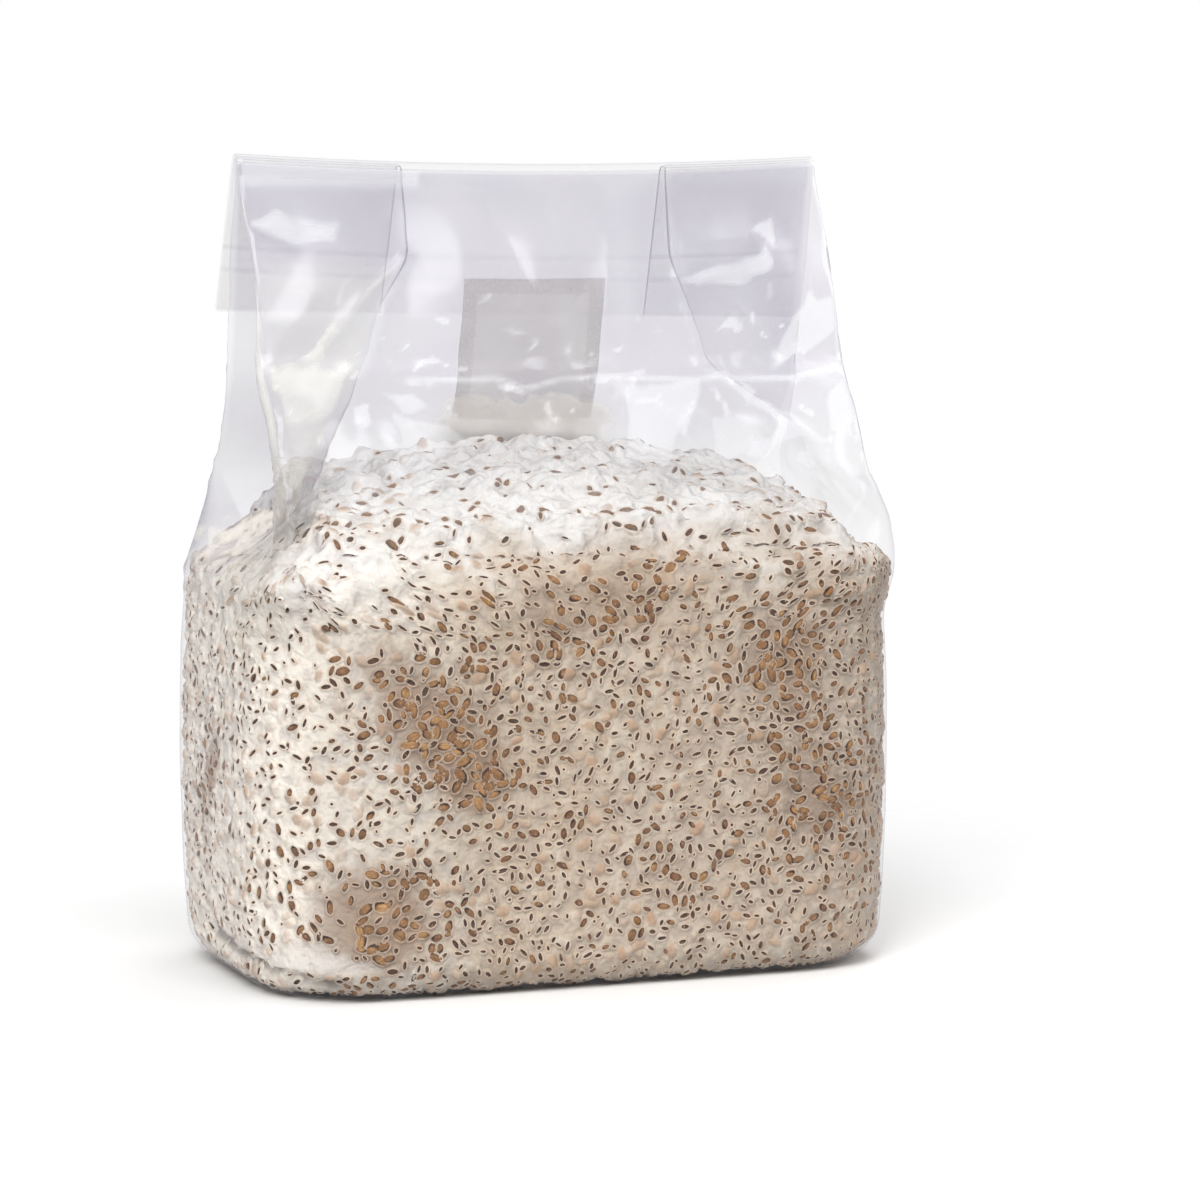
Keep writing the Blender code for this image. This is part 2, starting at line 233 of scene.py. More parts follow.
pressed_out = plain + outward(plain) * (pouch - lips)[..., None]

# Crumples of the neck: facets in three sizes on every panel, and slow waves. The lattice is warped
# first, so that no edge runs straight.
x, y = plain[..., 0], plain[..., 1]
warp_x = round_film + 5 * np.sin(up_film / 17 + 1) + 3 * np.sin(round_film / 11)
warp_y = up_film + 5 * np.sin(round_film / 19 + 2) + 3 * np.sin(up_film / 9)
loose = rise(z, 138, 165) * rise(z, NECK_TOP - 1, 232)
loose[FLAP_START:] = 0
meeting = rise(girth / 2 - np.abs(round_film), 0, 14)       # flat where the two ends of a row meet
rumpled = rise(z, 225, 190)
large = 2.0 * facets(warp_x, warp_y * 0.7, 55, 3)
medium = (0.5 + 0.6 * rumpled) * facets(warp_x, warp_y, 24, 5)
small = 0.30 * facets(warp_x, warp_y * 1.5, 10, 8) * rumpled
waves = 0.25 * np.sin(round_film / 8 + 2 * np.sin(up_film / 25))
crumple = (large + medium + small + waves) * loose * meeting
# The creases of the front panel, as (height, width, path of (x, z) points)
FRONT_CREASES = [
    (1.0, 1.6, [(-54, 196.5), (-40, 196), (-23, 196.5), (-14, 193), (-2, 195.5), (11, 196.3),
                (25, 195.3)]),
    (1.1, 1.8, [(25, 195.3), (46, 194), (56, 195.2), (79, 194.6), (104, 200)]),
    (0.8, 2.2, [(-50, 236), (-64, 224.5), (-78, 209.4), (-86, 202), (-101, 199.6)]),
    (0.7, 1.5, [(55, 195), (66, 188), (78, 179), (88, 171)]),
    (0.9, 1.6, [(90.6, 176), (88.7, 168), (98, 158), (86, 147)]),
    (0.5, 1.4, [(47, 265), (46, 243), (44.5, 229), (46, 211), (49, 198), (56, 195)]),
    (0.6, 1.8, [(-101, 200), (-92, 183), (-75, 190), (-72, 200)]),
    (-0.4, 3.0, [(-22, 262), (-14, 240), (-2, 214), (4, 196)]),
    (0.4, 3.0, [(26, 262), (22, 240), (18, 214), (20, 196)]),
    (0.5, 1.8, [(45, 229), (60, 222), (74, 206), (79, 195)]),
    (-0.5, 1.8, [(60, 196), (70, 184), (92, 186), (103, 196)]),
]
for height, width, path in FRONT_CREASES:
    crumple += height * crease(x, z, path, width) * front_panel * loose
# The left tuck is stretched: sharp wrinkles fan out from a point above and in front of it
FAN_Y, FAN_Z, FAN_STEP = -100, 200, 3.7     # its point, and degrees from one wrinkle to the next
stretch_turn = np.degrees(np.arctan2(FAN_Z - z, y - FAN_Y))
stretched = (stretch_turn + 1.3 * np.sin(z / 6) + 0.8 * np.sin(y / 4)) / FAN_STEP
stretched = np.abs(stretched % 1 - 0.5) ** 1.5
crumple += (1.6 * stretched - 0.4) * left_side * rise(z, 112, 128) * rise(z, 188, 165)
on_body = 0.12 * facets(warp_x, warp_y, 12, 11) * (rise(z, 150, 120) * meeting)
on_flap = 0.25 * np.sin(x / 23 + 1) * rise(up_film - up_film[FLAP_START], 2, 20)
crumple[:FLAP_START] += on_body[:FLAP_START]
crumple[FLAP_START:] += on_flap[FLAP_START:]
film = pressed_out + outward(plain) * crumple[..., None]


def swell(points, size, seed):
    """Soft lumps about -1 to 1: the sum of 20 plane waves of about that length, in random ways."""
    waves = 20
    random = np.random.default_rng(seed)
    ways = random.normal(size=(waves, 3))
    ways *= (2 * np.pi / size * random.uniform(0.7, 1.5, waves) / np.linalg.norm(ways, axis=1))[:, None]
    return np.cos(points @ ways.T + random.uniform(0, 2 * np.pi, waves)).sum(-1) / np.sqrt(waves)


# How hazy each stretch of film is: the panels of the neck most, the tucks and the flap hardly.
# It is the share of white scattered in the film. The smear is felt that has crept up the inside of
# the back panel, and into the tuck on the left.
haze = 0.02 + np.where(front_panel, 0.15 * rise(z, 160, 205),
                       np.where(back_panel, 0.23 * rise(z, 148, 182), 0.035 * rise(z, 140, 160)))
haze += 0.12 * left_side * rise(z, 118, 150) * rise(z, 205, 180)
haze += 0.10 * front_panel * rise(x, 66, 84) * rise(z, 165, 205)
right_edge, left_edge = np.s_[:, PANEL_PARTS:PANEL_PARTS + 3], np.s_[:, -4:-2]
haze[right_edge] += 0.35 * rise(z, 160, 180)[right_edge]
haze[FLAP_START:] = 0.022
haze *= 1 + 0.12 * swell(plain, 40, 61)
smear = back_panel * rise(z, 196, 180) * rise(x, -44, -14) * rise(x, 52, 20) * rise(z, 156, 168)
smear = smear + left_side * rise(z, 186 - 0.4 * (y + 50), 170 - 0.4 * (y + 50)) * rise(z, 125, 145)
smear *= np.where(left_side, 0.45 + 1.4 * stretched, 1.0)
smear[FLAP_START:] = smear[:, -7:] = 0
smear *= rise(smear + 0.28 * swell(plain, 22, 62) + 0.22 * swell(plain, 9, 63), 0.25, 1.0)


def pane(x, y, corners, blur):
    """A polygon with soft edges: 1 inside and 0 outside, blurred to either side of its edge."""
    inside = np.zeros(np.shape(x), bool)
    around = corners + corners[:1]
    for (x0, y0), (x1, y1) in zip(around[:-1], around[1:]):
        if y0 != y1:
            inside ^= ((y0 > y) != (y1 > y)) & (x < x0 + (y - y0) * (x1 - x0) / (y1 - y0))
    return rise(np.where(inside, 1, -1) * distance_to(x, y, around), -blur, blur)


# Painted highlights, where the front film is whiter: along its creases, under the fold, in small
# flecks, and in panes between folds, as (strength, blur, corners)
PANES = [
    (0.16, 2.5, [(-50, 236), (-62, 221), (-76, 207), (-86, 200), (-68, 196), (-57, 218)]),
    (0.50, 1.2, [(-100, 199), (-72, 200), (-75, 195), (-82, 187), (-93, 183), (-98, 184)]),
    (0.22, 2.0, [(-98, 184), (-82, 187), (-96, 160), (-99, 163)]),
    (0.50, 2.5, [(-99, 246), (-90, 250), (-80, 247), (-70, 246), (-74, 242), (-85, 240)]),
    (0.40, 1.5, [(45, 228), (60, 232), (78, 237), (80, 233), (68, 226), (58, 226)]),
    (0.35, 1.2, [(75, 243), (83, 248), (81, 237)]),
    (0.40, 1.8, [(75, 199), (80, 209), (90, 221), (103, 223), (104, 213), (93, 207)]),
    (0.38, 1.0, [(20, 193), (46, 193), (46, 188), (35, 179), (31, 169), (17, 171)]),
    (0.30, 1.2, [(46, 182), (64, 183), (66, 170), (46, 171)]),
    (0.45, 1.0, [(62, 174), (77, 182), (80, 178), (66, 172)]),
    (0.42, 1.0, [(-68, 165), (-60, 177), (-61, 185), (-46, 183), (-37, 177), (-45, 176), (-52, 168)]),
    (0.30, 1.5, [(56, 194), (76, 184), (91, 173), (74, 180)]),
    (0.40, 1.5, [(91, 188), (105, 200), (102, 187), (96, 178), (90, 178)]),
    (0.35, 1.2, [(-62, 192), (-53, 192), (-50, 187), (-58, 186)]),
    (0.10, 4.0, [(2, 253), (7, 253), (5, 201), (-1, 201)]),
    (0.10, 4.0, [(22, 260), (36, 260), (24, 201), (18, 201)]),
    (0.25, 3.0, [(-112, 190), (-104, 165), (-118, 150), (-116, 170)]),
]
WHITE_CREASES = FRONT_CREASES[:6]
glint = sum(0.22 * height * crease(x, z, path, 0.8) for height, width, path in WHITE_CREASES)
glint += rise(z, NECK_TOP - 14, NECK_TOP - 1) ** 2 * np.where(x < -40, 0.26, 0.08)
glint += 0.3 * rise(facets(warp_x, warp_y, 6, 19), 0.6, 0.9) * rise(z, 150, 170) * rise(z, 240, 205)
ragged_x = x + 1.5 * facets(round_film, up_film, 9, 15)
ragged_z = z + 1.5 * facets(round_film, up_film, 7, 16)
uneven = 0.75 + 0.35 * facets(warp_x, warp_y, 13, 17)
for strength, blur, corners in PANES:
    glint += 0.8 * strength * pane(ragged_x, ragged_z, corners, blur) * uneven
glint = glint * front_panel
# A painted highlight runs down the left edge of the neck, here and there
glint[left_edge] += ((0.45 + 0.25 * facets(z, z, 9, 23)) * rise(z, 168, 184))[left_edge]
glint[FLAP_START:] = 0
glint = np.clip(glint, 0, None)


def quads(rows, columns, first=0, closed=True):
    """Faces between the points of a grid, row by row, whose rows close on themselves or not."""
    this = np.arange(columns if closed else columns - 1)
    following = (this + 1) % columns
    low = first + columns * np.arange(rows - 1)[:, None]
    return np.stack([low + this, low + following, low + columns + following,
                     low + columns + this], -1).reshape(-1, 4)


def fan(first, columns, tip):
    """Triangles between a closed row of points, from the first one's number on, and a tip."""
    this = first + np.arange(columns)
    return np.column_stack([this, np.roll(this, -1), np.full(columns, tip)])


def add_piece(name, points, faces, material, attributes=None):
    """A smooth mesh object of points in millimetres, with its material and attributes."""
    mesh = bpy.data.meshes.new(name)
    mesh.from_pydata((np.asarray(points) / 1000).tolist(), [], faces)
    for label, values in (attributes or {}).items():
        kind, key = ("FLOAT", "value") if np.ndim(values) == 1 else ("FLOAT_VECTOR", "vector")
        layer = mesh.attributes.new(label, kind, "POINT")
        layer.data.foreach_set(key, np.ravel(values).astype(np.float32))
    mesh.shade_smooth()
    mesh.materials.append(material)
    piece = bpy.data.objects.new(name, mesh)
    bpy.context.scene.collection.objects.link(piece)
    return piece


def operator(operation, swapped=False):
    """A method of Wire that adds a Math node on the wire and what it is given."""
    def add_node(wire, other):
        pair = (other, wire) if swapped else (wire, other)
        return wire.node("Math", {"operation": operation}, dict(enumerate(pair)))
    return add_node


class Wire:
    """A socket of a material's nodes: an expression on it adds the Math nodes that it names."""

    __add__ = __radd__ = operator("ADD")
    __mul__ = __rmul__ = operator("MULTIPLY")
    __sub__, __rsub__ = operator("SUBTRACT"), operator("SUBTRACT", swapped=True)
    __truediv__, __pow__ = operator("DIVIDE"), operator("POWER")
    larger, smaller = operator("MAXIMUM"), operator("MINIMUM")

    def __init__(self, tree, socket=None):
        self.tree, self.socket = tree, socket

    def node(self, kind, settings=None, sockets=None, result=0):
        """Adds a node: its settings first, then values or wires for its sockets."""
        node = self.tree.nodes.new("ShaderNode" + kind)
        for name, value in (settings or {}).items():
            if name == "stops":
                for number, (place, colour) in enumerate(value):
                    stop = (node.color_ramp.elements[number] if number < 2
                            else node.color_ramp.elements.new(place))
                    stop.position, stop.color = place, colour
            else:
                setattr(node, name, value)
        for name, value in (sockets or {}).items():
            if isinstance(value, Wire):
                self.tree.links.new(value.socket, node.inputs[name])
            else:
                node.inputs[name].default_value = value
        return Wire(self.tree, node.outputs[result])

    def step(self, low, high):
        """A smooth step of this value from 0 at low to 1 at high."""
        return self.node("MapRange", {"interpolation_type": "SMOOTHSTEP"},
                         {"Value": self, "From Min": low, "From Max": high})

    def mix(self, low, high):
        """The colour low where this value is 0 and high where it is 1."""
        return self.node("Mix", {"data_type": "RGBA"}, {0: self, 6: low, 7: high}, 2)

    def noise(self, size, detail=2.0, roughness=0.5, distortion=0.0):
        """Noise from 0 to 1 at this place, with lumps of about that size in millimetres."""
        return self.node("TexNoise", None, {"Vector": self, "Scale": 1000 / size, "Detail": detail,
                                            "Roughness": roughness, "Distortion": distortion})

    def attribute(self, name, result="Fac"):
        return self.node("Attribute", {"attribute_name": name}, None, result)

    def axes(self):
        """The three parts of a vector."""
        parts = self.node("SeparateXYZ", None, {0: self})
        return [Wire(self.tree, socket) for socket in parts.socket.node.outputs]


def new_material(name):
    """A material with an empty tree, and the wires that start it: its place and its output."""
    material = bpy.data.materials.new(name)
    material.use_nodes = True
    tree = material.node_tree
    tree.nodes.clear()
    place = Wire(tree).node("TexCoord", None, None, "Object")
    output = tree.nodes.new("ShaderNodeOutputMaterial").inputs["Surface"]
    return material, place, output


def paint(red, green, blue):
    """A colour written as it shows on a screen, 0 to 255, in the linear values that nodes take."""
    parts = np.array([red, green, blue]) / 255
    return (*np.where(parts > 0.04045, ((parts + 0.055) / 1.055) ** 2.4, parts / 12.92).tolist(), 1.0)


SEAL_LINES = (30.0, 38.0)   # faint lines across the flap, from the fold
MILK_COLOUR, SMEAR_COLOUR, GLINT_COLOUR = paint(156, 148, 170), paint(240, 234, 226), paint(222, 222, 228)
CREAM_MILK, CREAM_GLINT = paint(200, 198, 182), paint(224, 222, 213)
GLOSS_COLOUR = (0.84, 0.83, 0.87, 1)

clear_film, place, output = new_material("Clear film")
milk = place.attribute("haze")
felt = place.attribute("smear")
down = place.attribute("down")
for line in SEAL_LINES:
    milk = milk + (1 - ((down - line) * (down - line)).step(0.0, 1.2)) * 0.03
glint_here = place.attribute("glint")
# The film over the left tuck is cream, between the fold and the grain
here_x, here_y, here_z = place.axes()
cream = (here_x + (0.236 - here_z) * 0.45).step(-0.050, -0.057) * here_z.step(0.238, 0.228)
cream = cream * here_y.step(-0.005, -0.012)
haze_colour = felt.step(0.0, 0.3).mix(MILK_COLOUR, SMEAR_COLOUR)
haze_colour = (cream * 0.6).mix(haze_colour, CREAM_MILK)
# Painted highlights whiten the film, and make it less clear, where the glint attribute is set
haze_colour = glint_here.step(0.0, 0.15).mix(haze_colour, cream.mix(GLINT_COLOUR, CREAM_GLINT))
haze_shader = place.node("BsdfPrincipled", None, {
    "Base Color": haze_colour, "Roughness": 0.75, "Specular IOR Level": 0.0})
see_through = place.node("BsdfTransparent", None, {"Color": (1, 1, 1, 1)})
# Seen at a slant the film is milkier, as more of it is looked through, and mirrors more
slant = place.node("LayerWeight", None, {"Blend": 0.5}, "Facing")
thickness = slant ** 4 * 5 + 1
sheen = slant ** 5 * 0.95 + 0.05
covered = (milk * thickness + felt * 0.63 + glint_here).smaller(0.95)
body = place.node("MixShader", None, {0: covered, 1: see_through, 2: haze_shader})
gloss = place.node("BsdfPrincipled", None, {
    "Base Color": GLOSS_COLOUR, "Metallic": 1.0, "Roughness": 0.2})
shine = sheen * (0.4 + place.attribute("loose"))
surface = place.node("MixShader", None, {0: shine.smaller(0.8), 1: body, 2: gloss})
place.tree.links.new(surface.socket, output)

# Below the first row, the base closes in three rings and a middle point
under = np.repeat(film[:1], 3, 0)
under[..., :2] *= np.array([0.04, 0.35, 0.7])[:, None, None]
sheet = np.concatenate([under, film])
points = np.concatenate([sheet.reshape(-1, 3), [[0, 0, FILM / 2]]])
closing = fan(0, COLUMNS, len(points) - 1)[:, [1, 0, 2]]
# What the material reads at each point, and its value below the first row
marks = {"haze": (haze, 0.05), "smear": (smear, 0), "glint": (glint, 0),
         "down": (up_film - up_film[FLAP_START + 7], 0), "loose": (rise(z, 125, 195), 0)}
film_bag = add_piece(
    "film_bag_skin", points, quads(ROWS + 3, COLUMNS).tolist() + closing.tolist(), clear_film,
    {name: np.concatenate([np.full(3 * COLUMNS, below), values.ravel(), [below]])
     for name, (values, below) in marks.items()})
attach(film_bag, "root")
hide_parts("film_bag")

# The filter patch: a square of thin non-woven membrane, heat-welded to the outside of the back
# panel round its border, so that the grain can breathe without letting dust in.
PATCH_SIZE, PATCH_TOP, PATCH_X, PATCH_THICKNESS = 50.0, 227.5, 4.0, 0.5
WELD_WIDTH, PATCH_PARTS = 5.0, 72
OFF_FILM = 0.3              # gap between the film and the inner side of the membrane


def sampled(surface, row, place):
    """A grid's values at fractional rows and columns: the four nearest, weighed by nearness."""
    low_row, low_column = np.floor(row).astype(int), np.floor(place).astype(int)
    down, over = (row - low_row)[..., None], (place - low_column)[..., None]
    next_row = np.minimum(low_row + 1, len(surface) - 1)
    next_column = (low_column + 1) % surface.shape[1]
    low_column = low_column % surface.shape[1]
    lower = surface[low_row, low_column] * (1 - over) + surface[low_row, next_column] * over
    upper = surface[next_row, low_column] * (1 - over) + surface[next_row, next_column] * over
    return lower * (1 - down) + upper * down


# The patch's rows and columns on the film's grid, by lengths from the middle of the back panel
middle_column = np.flatnonzero(back_panel)[back_panel.sum() // 2]
panel_step = steps[FLAP_START - 20, middle_column]
top_row = np.interp(PATCH_TOP, plain[:FLAP_START, middle_column, 2], np.arange(FLAP_START))
top_length = np.interp(top_row, np.arange(ROWS), up_film[:, middle_column])
across, down = np.meshgrid(np.linspace(-0.5, 0.5, PATCH_PARTS), np.linspace(0, 1, PATCH_PARTS))
patch_rows = np.interp(top_length - down * PATCH_SIZE, up_film[:, middle_column], np.arange(ROWS))
patch_columns = middle_column - (across * PATCH_SIZE + PATCH_X) / panel_step
behind = sampled(film, patch_rows, patch_columns)
away = sampled(outward(film), patch_rows, patch_columns)
from_edge = (0.5 - np.maximum(np.abs(across), np.abs(down - 0.5))) * PATCH_SIZE
weld = 1 - rise(from_edge, WELD_WIDTH - 0.6, WELD_WIDTH + 0.6)
nubs = 0.06 * np.sin(across * PATCH_SIZE * 2.2) * np.sin(down * PATCH_SIZE * 2.2) * weld
puff = 0.5 * (1 - weld) * (0.5 + 0.5 * facets(across * PATCH_SIZE, down * PATCH_SIZE, 11, 21))
outer = behind + away * (OFF_FILM + 0.05 + PATCH_THICKNESS * (1 - 0.4 * weld) + nubs + puff)[..., None]
inner = behind + away * OFF_FILM
numbers = np.arange(PATCH_PARTS ** 2).reshape(PATCH_PARTS, PATCH_PARTS)
rim = np.concatenate([numbers[0], numbers[1:, -1], numbers[-1, -2::-1], numbers[-2:0:-1, 0]])
next_rim = np.roll(rim, -1)
around = np.column_stack([rim, next_rim, next_rim + PATCH_PARTS ** 2, rim + PATCH_PARTS ** 2])
front_faces = quads(PATCH_PARTS, PATCH_PARTS, closed=False)

FIBRE_TONES = paint(215, 213, 182), paint(234, 231, 200)
STAIN_COLOUR, WELD_COLOUR = paint(214, 198, 172), paint(206, 202, 174)

membrane, place, output = new_material("Filter membrane")
fibres = place.node("TexVoronoi", {"feature": "DISTANCE_TO_EDGE"}, {"Vector": place, "Scale": 1600.0})
felted = place.noise(1.2, 4, 0.7, 0.6)
stain = place.noise(14, 3, 0.6)
frame_mask = place.attribute("weld")
tone = felted.mix(*FIBRE_TONES)
tone = (stain.step(0.45, 0.75) * 0.6).mix(tone, STAIN_COLOUR)
tone = (frame_mask * 0.5).mix(tone, WELD_COLOUR)
relief = place.node("Bump", None, {"Strength": 0.4, "Distance": 0.0002,
                                   "Height": felted + fibres.smaller(0.2) * 2})
shader = place.node("BsdfPrincipled", None, {"Base Color": tone, "Roughness": 0.85, "Normal": relief,
                                             "Alpha": 0.23 + frame_mask * 0.08 + felted * 0.1})
place.tree.links.new(shader.socket, output)

filter_patch = add_piece(
    "filter_patch_membrane", np.concatenate([outer.reshape(-1, 3), inner.reshape(-1, 3)]),
    front_faces[:, ::-1].tolist() + (front_faces + PATCH_PARTS ** 2).tolist() + around.tolist(),
    membrane, {"weld": np.tile(weld.ravel(), 2)})
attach(filter_patch, "root")
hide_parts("filter_patch")

# The block of grain: kernels grown together by white mycelium into one mass that fills the film.
# Its walls are pressed smooth by the film, and its top is a loose, fluffy heap.
INSET = 1.6                 # of the felt between kernels, from the film
SHOULDER_START, SHOULDER_RADIUS = 130.0, 13.0
SHOULDER_TURNS = np.radians(np.linspace(6, 62, 12))
HEAP_RINGS, ROOF_GAP = 76, 2.2
HEAP_CENTRE = np.array([4.0, 4.0])
CREST_Y = 12.0
CREST = [(-HALF_BODY, FILL_HEIGHT), (-88, 160), (-66, 163.5), (-30, 169), (12, 172), (40, 168),
         (72, 164), (92, 158), (HALF_BODY, FILL_HEIGHT)]


def heap(x, y):
    """Height of the heap's top: a ridge whose crest follows CREST from side to side, falls to the
    front as a quarter sine and rises a little to the back, and keeps ROOF_GAP from the film."""
    crest = np.interp(x, *zip(*CREST))
    climb = np.clip((y + HALF_DEPTH) / (CREST_Y + HALF_DEPTH), 0, 1)
    loose = FILL_HEIGHT + (crest - FILL_HEIGHT) * np.sin(climb * np.pi / 2)
    loose = loose + 0.3 * np.clip(y - CREST_Y, 0, None)
    heights = np.linspace(FILL_HEIGHT, PRESSED, 80)
    half = along(WIDTH_LINE, heights)
    for outwards, wall in ((-y, -along(FRONT_LINE, heights)), (y, along(BACK_LINE, heights)),
                           (-x, half - along(TUCK_LINES[-1], heights)),
                           (x, half - along(TUCK_LINES[1], heights))):
        loose = np.minimum(loose, np.interp(outwards, wall[::-1], heights[::-1]) - ROOF_GAP)
    return loose


straight_rows = int(np.searchsorted(plain[:, 0, 2], SHOULDER_START))
core = (pressed_out - outward(pressed_out) * INSET)[:straight_rows]
shoulder_heights = SHOULDER_START + SHOULDER_RADIUS * np.sin(SHOULDER_TURNS)
shoulder_insets = INSET + SHOULDER_RADIUS * (1 - np.cos(SHOULDER_TURNS))
core = np.concatenate([core, [level(outline(height, inset), height)
                              for height, inset in zip(shoulder_heights, shoulder_insets)]])
rim = core[-1, :, :2]
shares = 1 - (np.arange(1, HEAP_RINGS) / HEAP_RINGS)[:, None]
top = rim * shares[..., None] + HEAP_CENTRE * (1 - shares[..., None])
settle = rise(1 - shares, 0, 0.12)
height = core[-1, 0, 2] * (1 - settle) + heap(top[..., 0], top[..., 1]) * settle
core = np.concatenate([core, np.concatenate([top, height[..., None]], -1)])
normals = outward(core)
upper = rise(core[..., 2], 112, 140)
lumps = (0.45 * swell(core, 9, 31) + 0.22 * swell(core, 4.5, 32)) * (1 - 0.5 * upper)
lumps += upper * (2.0 * np.abs(swell(core, 26, 41)) + 1.1 * np.abs(swell(core, 12, 42))
                  + 0.35 * swell(core, 5, 43) - 2.4)
block = core + normals * np.minimum(lumps, INSET - 0.6 + 3 * rise(core[..., 2], 134, 146))[..., None]
block_normals = outward(block)
# The folded corner's mark: painted shadow in its crease, and a painted highlight on its lip
folded = np.zeros(core.shape[:2])       # the shadowed crease of the folded corner, and its white lip
folded[:straight_rows] = (crease(round_film, z, LOWER_LIP, 1.6) - crease(round_film, z, UPPER_LIP, 2.4)
                          - 0.7 * pouch / POUCH_DEPTH)[:straight_rows]

# Where the felt is thin and the kernels lie bare: named clusters, as (x, z, half width, strength)
BARE_SPOTS = [(-61, 90, 18, 1.1), (-76, 27, 21, 1.3), (-77, 112, 13, 0.6), (-43, 71, 14, 0.9),
              (-21, 118, 20, 0.55), (12, 128, 18, 0.6), (60, 108, 20, 0.7), (75, 60, 24, 0.8),
              (20, 40, 16, 0.5)]


def bareness(points):
    """How bare the grain is, 0 to 1: round spots on the front wall, and drifts of soft lumps."""
    spots = sum(strength * np.exp(-((points[..., 0] - x) ** 2 + (points[..., 2] - z) ** 2) / size ** 2)
                for x, z, size, strength in BARE_SPOTS) * (points[..., 1] < 0)
    drift = 0.55 * rise(swell(points, 60, 51), 0.5, 1.6) * rise(points[..., 2], 150, 120)
    return np.clip(spots + drift * (points[..., 1] > -20) + 0.25 * drift, 0, 1)


# The felt is whitest at the left end and on the heap, and greyer and browner towards the right,
# partly in its own tone and partly as painted shade: the felt is multiplied darker from the left
# end towards the right, browner low on the left, and a little darker on the heap's top
BLOCK_LEFT, BLOCK_WIDTH = 0.115, 0.23       # metres
GROUND_TONES = [(0.0, paint(246, 239, 228)), (1.0, paint(223, 211, 197)), (0.20, paint(228, 219, 206)),
                (0.36, paint(225, 214, 200))]
PAINTED_SHADE_TONES = [(0.0, paint(255, 255, 255)), (1.0, paint(203, 198, 192)), (0.10, paint(246, 245, 244)),
              (0.22, paint(241, 240, 238)), (0.34, paint(215, 207, 197))]
DRIFT_SIZE, FLUFF_SIZE, THIN_SIZE = 26, 6.5, 3.4
DRIFT_WHITE, FLUFF_AND_HIGHLIGHT_WHITE, CREST_WHITE = paint(240, 234, 225), paint(246, 241, 232), paint(240, 239, 238)
THIN_TAN, HOLLOW_SHADE_GREY, VOID_SHADE_BROWN = paint(200, 172, 146), paint(194, 186, 181), paint(150, 132, 118)
BARE_TAN, LIP_HIGHLIGHT_WHITE, CREASE_SHADOW_BROWN = paint(158, 130, 104), paint(234, 228, 222), paint(104, 90, 78)
SHADE_BROWN, HEAP_PAINTED_SHADE = paint(90, 82, 72), paint(241, 242, 243)
RELIEF_DEPTH = 0.0026


def mycelium(place):
    """Colour and relief of the felt: white drifts over a tinted ground, white fluff on the lumps and grey
    in the hollows (thicker and thinner felt, and also painted light and painted shade on the relief),
    tan where it is thin or bare, painted shade in the voids where the grain is bare, white on the
    crest, a painted highlight on the folded lip and painted shadow in its crease, and all of it
    multiplied by painted shade from side to side."""
    x, y, z = place.axes()
    bare = place.attribute("bare")
    fold = place.attribute("fold")
    side = (x + BLOCK_LEFT) / BLOCK_WIDTH
    ground = side.node("ValToRGB", {"stops": GROUND_TONES}, {0: side})
    drifts = place.noise(DRIFT_SIZE, 3, 0.55, 0.3)
    fluff = place.noise(FLUFF_SIZE, 2, 0.5, 0.3)
    thin = place.noise(THIN_SIZE, 2, 0.5, 0.6)
    colour = (drifts.step(0.44, 0.62) * 0.5).mix(ground, DRIFT_WHITE)
    # White on the tops of the bumps and grey in their hollows: thicker and thinner felt, and also painted
    # light and painted shade on the relief
    colour = (fluff.step(0.54, 0.68) * 0.7).mix(colour, FLUFF_AND_HIGHLIGHT_WHITE)
    colour = (thin.step(0.46, 0.32) * 0.30).mix(colour, THIN_TAN)
    crest = (z + (drifts - 0.5) * 0.05).step(0.125, 0.160)
    colour = (crest * 0.75).mix(colour, CREST_WHITE)
    colour = (fluff.step(0.50, 0.34) * (0.5 - crest * 0.15)).mix(colour, HOLLOW_SHADE_GREY)
    # Painted shade in the voids between the kernels, where the grain is bare
    shaded_voids = (bare + (fluff - 0.5) * 2.4).step(0.35, 0.85)
    colour = (shaded_voids * 0.5).mix(colour, VOID_SHADE_BROWN)
    colour = (bare.step(0.3, 1.0) * 0.6).mix(colour, BARE_TAN)
    # A painted highlight on the folded corner's lip, and painted shadow in its crease
    colour = (fold.step(0.0, -1.0) * 0.7).mix(colour, LIP_HIGHLIGHT_WHITE)
    colour = (fold.step(0.15, 0.8) * 0.8).mix(colour, CREASE_SHADOW_BROWN)
    # Painted shade, multiplied over the felt: darker from the left end towards the right, browner low on
    # the left, and a little darker on the heap's top
    painted_shade = side.node("ValToRGB", {"stops": PAINTED_SHADE_TONES}, {0: side})
    shade = z.step(0.125, 0.095) * side.step(0.04, 0.12) * side.step(0.42, 0.30)
    painted_shade = (shade * 0.13).mix(painted_shade, SHADE_BROWN)
    painted_shade = (z + (drifts - 0.5) * 0.04).step(0.126, 0.160).mix(painted_shade, HEAP_PAINTED_SHADE)
    colour = place.node("Mix", {"data_type": "RGBA", "blend_type": "MULTIPLY"},
                        {0: 1.0, 6: colour, 7: painted_shade}, 2)
    relief = place.node("Bump", None, {"Strength": 1.0, "Distance": RELIEF_DEPTH,
                                       "Height": fluff + thin * 0.3})
    return colour, relief


felt_material, place, output = new_material("Colonised grain")
colour, relief = mycelium(place)
shader = place.node("BsdfPrincipled", None, {"Base Color": colour, "Roughness": 0.9, "Normal": relief,
                                             "Specular IOR Level": 0.2})
place.tree.links.new(shader.socket, output)

